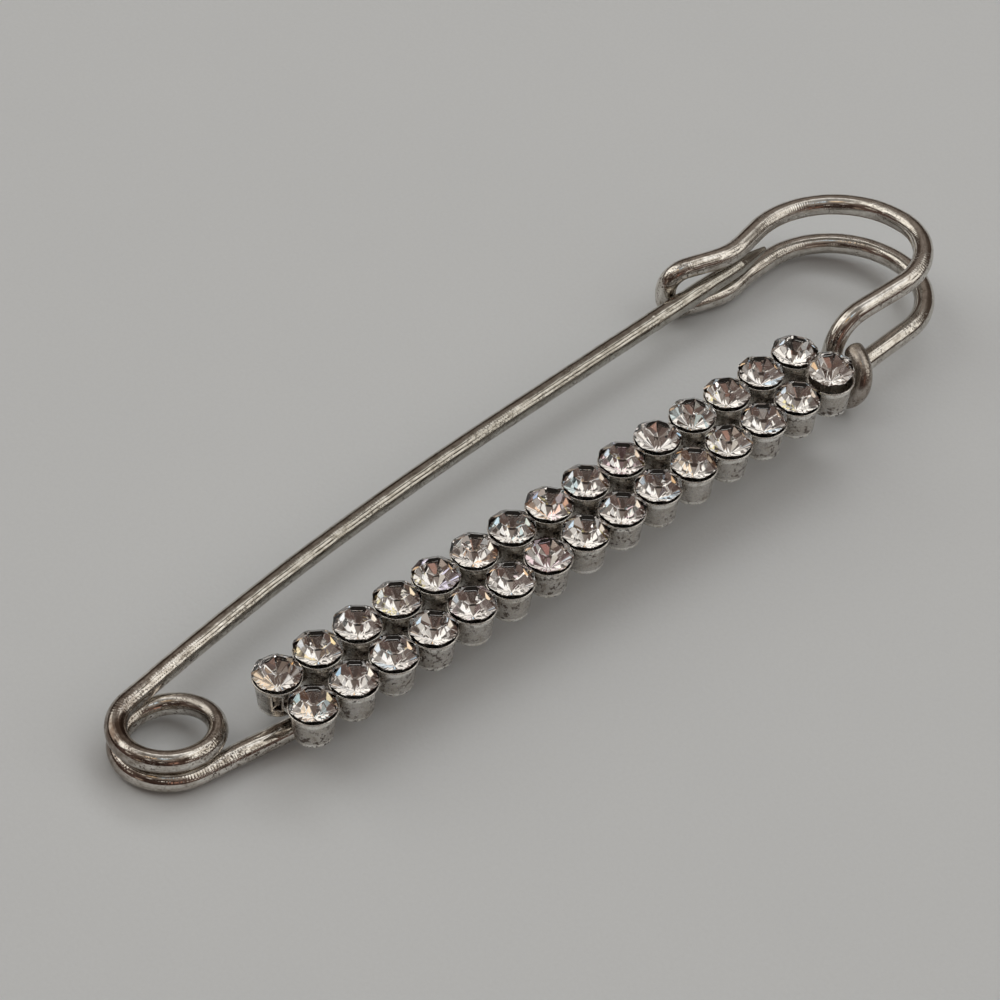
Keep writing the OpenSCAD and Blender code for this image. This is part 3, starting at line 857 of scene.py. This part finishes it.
for i in range(1, N + 1):
    for sg, nm in ((1, "back"), (-1, "front")):
        base = np.array([(i - 8) * PITCH, sg * ROWGAP / 2, 0])
        g = np.random.default_rng(1000 + i * 2 + (sg > 0))
        turn = TURNS[sg][i - 1]
        if i == 15 and sg == -1:
            v = SV @ rot_xyz(0, 0, turn).T @ rot_xyz(4, -5, 0).T + base + np.array([-0.05, 0.1, 0.6])
        else:
            lean = 1.8 if i in (1, 15) else 1.3
            v = SV @ rot_xyz(0, 0, turn).T @ rot_xyz(g.uniform(-lean, lean), g.uniform(-lean, lean), 0).T + base
        mi = list(SM)
        # a few pavilion facets get a tinted foil: a painted glint
        for _ in range(int(g.integers(0, 3))):
            mi[int(g.integers(len(SM) - 32, len(SM)))] = 2 + int(g.integers(0, 4))
        # painted glint: the facet nearest the listed direction gets tinted glass
        for ang, hue, slim in PAINTED_GLINT_PLACES.get((sg, i), []):
            k = int(round((ang - turn - 22.5 * slim) / 45)) % 8
            mi[1 + k + 8 * slim] = 6 + PAINTED_GLINT_ORDER.index(hue)
        ob = make("stone_%s_%02d_cut" % (nm, i), row(v), SF, [GLASS, FOIL] + PAINTED_GLINT_FOILS + PAINTED_GLINT_GLASS, smooth=False, matidx=mi)
        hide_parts("stone_%s_%02d" % (nm, i))
        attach(ob, "frame")


# ------------------------------------------------------------------ floor and light
def floor():
    n, ext = 2, 1.6
    v = [(-ext, -ext, 0), (ext, -ext, 0), (ext, ext, 0), (-ext, ext, 0)]
    mt, nt, b = nodes_of("table_paper")
    L = nt.links
    obj = nd(nt, "ShaderNodeTexCoord").outputs["Object"]
    a = noise(nt, obj, 60, 2, 0.6)
    f = noise(nt, obj, 2500, 1, 0.6)
    c1 = mix_col(nt, a.outputs["Fac"], (0.697, 0.727, 0.752), (0.723, 0.751, 0.774))
    g = noise(nt, obj, 3600, 3, 0.7)
    c1 = mix_col(nt, math_node(nt, "MULTIPLY", g.outputs["Fac"], 0.30), c1, (0.56, 0.575, 0.585))
    L.new(c1, b.inputs["Base Color"])
    b.inputs["Roughness"].default_value = 0.75
    bump = nd(nt, "ShaderNodeBump")
    bump.inputs["Strength"].default_value = 0.25
    bump.inputs["Distance"].default_value = 0.00005
    L.new(f.outputs["Fac"], bump.inputs["Height"])
    L.new(bump.outputs["Normal"], b.inputs["Normal"])
    ob = make("floor", v, [(0, 1, 2, 3)], [mt], smooth=False)
    ob.location.z = cad_lo[2] - 0.00001


floor()

away = unit(np.array([-cz[0], -cz[1], 0]))      # horizontal, away from the camera
right = np.array([away[1], -away[0], 0])


def area(name, pos, size, power, color=(1, 1, 1)):
    d = bpy.data.lights.new(name, "AREA")
    d.shape = "RECTANGLE"
    d.size, d.size_y = size
    d.energy = power
    d.color = color
    o = bpy.data.objects.new(name, d)
    scene.collection.objects.link(o)
    o.location = Vector(pos)
    o.rotation_mode = "QUATERNION"
    o.rotation_quaternion = (Vector((0, 0, 0.0)) - Vector(pos)).to_track_quat("-Z", "Y")
    return o


key_dir = unit(away * math.cos(math.radians(48)) + right * 0.03 + np.array([0, 0, math.sin(math.radians(48))]))
key = area("key_softbox", key_dir * 1.1, (0.80, 0.27), 1.55, (1.0, 0.99, 0.97))
key.visible_glossy = False

world = bpy.data.worlds.new("studio")
scene.world = world
world.use_nodes = True
wn = world.node_tree
bg = wn.nodes["Background"]
tc = nd(wn, "ShaderNodeTexCoord")


def dot_with(v):
    n = nd(wn, "ShaderNodeVectorMath", operation="DOT_PRODUCT")
    wn.links.new(tc.outputs["Generated"], n.inputs[0])
    n.inputs[1].default_value = tuple(v)
    return n.outputs["Value"]


def patch_of(col, right_az, el, r_out, r_in, share, level):
    """blend a round patch of the given radiance into the room, seen from the brooch"""
    ra, re = math.radians(right_az), math.radians(el)
    v = (away * math.cos(ra) + right * math.sin(ra)) * math.cos(re) + np.array([0, 0, math.sin(re)])
    m_ = ramp(wn, [(math.cos(math.radians(r_out)), 0.0), (math.cos(math.radians(r_in)), share)])
    wn.links.new(dot_with(v), m_.inputs["Fac"])
    return mix_col(wn, m_.outputs["Color"], col, level)


# a room lit from high up behind the brooch, with dim brownish walls
elev = dot_with((0, 0, 1))
e_ramp = ramp(wn, [(0.0, (0.070, 0.052, 0.042)), (0.42, (0.075, 0.056, 0.045)), (0.60, (0.14, 0.115, 0.098)),
                   (0.68, (0.36, 0.34, 0.31)), (0.745, (1.20, 1.175, 1.12)), (0.79, (1.46, 1.43, 1.36)),
                   (0.89, (1.38, 1.35, 1.29)), (0.94, (0.66, 0.655, 0.64)), (0.97, (0.38, 0.37, 0.36)),
                   (1.0, (0.33, 0.32, 0.31))])
wn.links.new(elev, e_ramp.inputs["Fac"])
# the photographer's side is dark and brown, a little lighter towards the ceiling
c_ramp = ramp(wn, [(0.0, (0.098, 0.063, 0.052)), (0.62, (0.108, 0.071, 0.059)), (0.74, (0.15, 0.115, 0.095)),
                   (0.80, (0.26, 0.22, 0.19)), (0.87, (0.34, 0.30, 0.265)), (0.94, (0.36, 0.32, 0.29)),
                   (1.0, (0.34, 0.31, 0.28))])
wn.links.new(elev, c_ramp.inputs["Fac"])
cam_h = unit(np.array([cz[0], cz[1], 0]))
side_m = ramp(wn, [(0.03, 0.0), (0.26, 1.0)])
wn.links.new(dot_with(cam_h), side_m.inputs["Fac"])
col_a = mix_col(wn, side_m.outputs["Color"], e_ramp.outputs["Color"], c_ramp.outputs["Color"])
col_a = patch_of(col_a, 180, 24, 32, 22, 1.0, (0.046, 0.029, 0.023))
# a window on either hand, and a dim stretch of wall straight behind
col_b = patch_of(col_a, -76, 38, 29, 22, 1.0, (1.42, 1.38, 1.29))
col_b = patch_of(col_b, 90, 38, 26, 19, 1.0, (1.18, 1.14, 1.06))
col_b = patch_of(col_b, -34, 44, 20, 12, 0.7, (0.22, 0.185, 0.16))
col_b = patch_of(col_b, -8, 41, 23, 14, 1.0, (0.24, 0.205, 0.18))
# glazing bars and things standing in the windows
col_b = patch_of(col_b, -96, 30, 8, 6, 1.0, (0.07, 0.05, 0.04))
col_b = patch_of(col_b, -70, 48, 5, 3.5, 1.0, (0.09, 0.07, 0.06))
col_b = patch_of(col_b, 84, 40, 6.5, 5, 1.0, (0.07, 0.05, 0.04))
col_b = patch_of(col_b, 104, 30, 6, 4.5, 1.0, (0.09, 0.07, 0.06))
col_b = patch_of(col_b, 118, 48, 6, 4.5, 1.0, (0.07, 0.05, 0.04))
for az, el, r in ((18, 54, 5.5), (-24, 57, 5.0), (44, 56, 6.0), (-50, 57, 5.0)):
    col_b = patch_of(col_b, az, el, r, r - 1.5, 1.0, (0.10, 0.078, 0.066))
# furniture on the photographer's side
col_b = patch_of(col_b, 152, 25, 8, 6, 1.0, (0.36, 0.20, 0.15))
col_b = patch_of(col_b, -152, 12, 8, 6, 1.0, (0.33, 0.26, 0.21))
col_b = patch_of(col_b, 172, 36, 4.5, 3.2, 1.0, (1.05, 0.98, 0.90))
col_b = patch_of(col_b, -163, 44, 4.5, 3.2, 1.0, (0.95, 0.90, 0.84))
col_b = patch_of(col_b, -128, 30, 6.5, 5, 1.0, (0.62, 0.57, 0.50))
col_b = patch_of(col_b, 128, 18, 6, 4.5, 1.0, (0.55, 0.50, 0.45))
# small lamps on the ceiling, which give the stones their coloured glints
col_b = patch_of(col_b, 73, 69, 10, 7, 1.0, (1.25, 1.24, 1.21))
col_b = patch_of(col_b, 165, 75, 6.5, 3.0, 1.0, (0.55, 0.86, 1.12))
col_b = patch_of(col_b, 158, 78, 3.6, 2.4, 1.0, (1.35, 1.36, 1.36))
col_b = patch_of(col_b, -153, 70, 6.0, 3.0, 1.0, (1.25, 0.80, 0.38))
col_b = patch_of(col_b, -148, 73, 3.6, 2.4, 1.0, (1.40, 1.32, 1.15))
col_b = patch_of(col_b, -132, 62, 5.0, 3.5, 1.0, (1.40, 1.38, 1.32))
wn.links.new(col_b, bg.inputs["Color"])
bg.inputs["Strength"].default_value = 1.0

scene.view_settings.view_transform = "Standard"
scene.view_settings.look = "None"
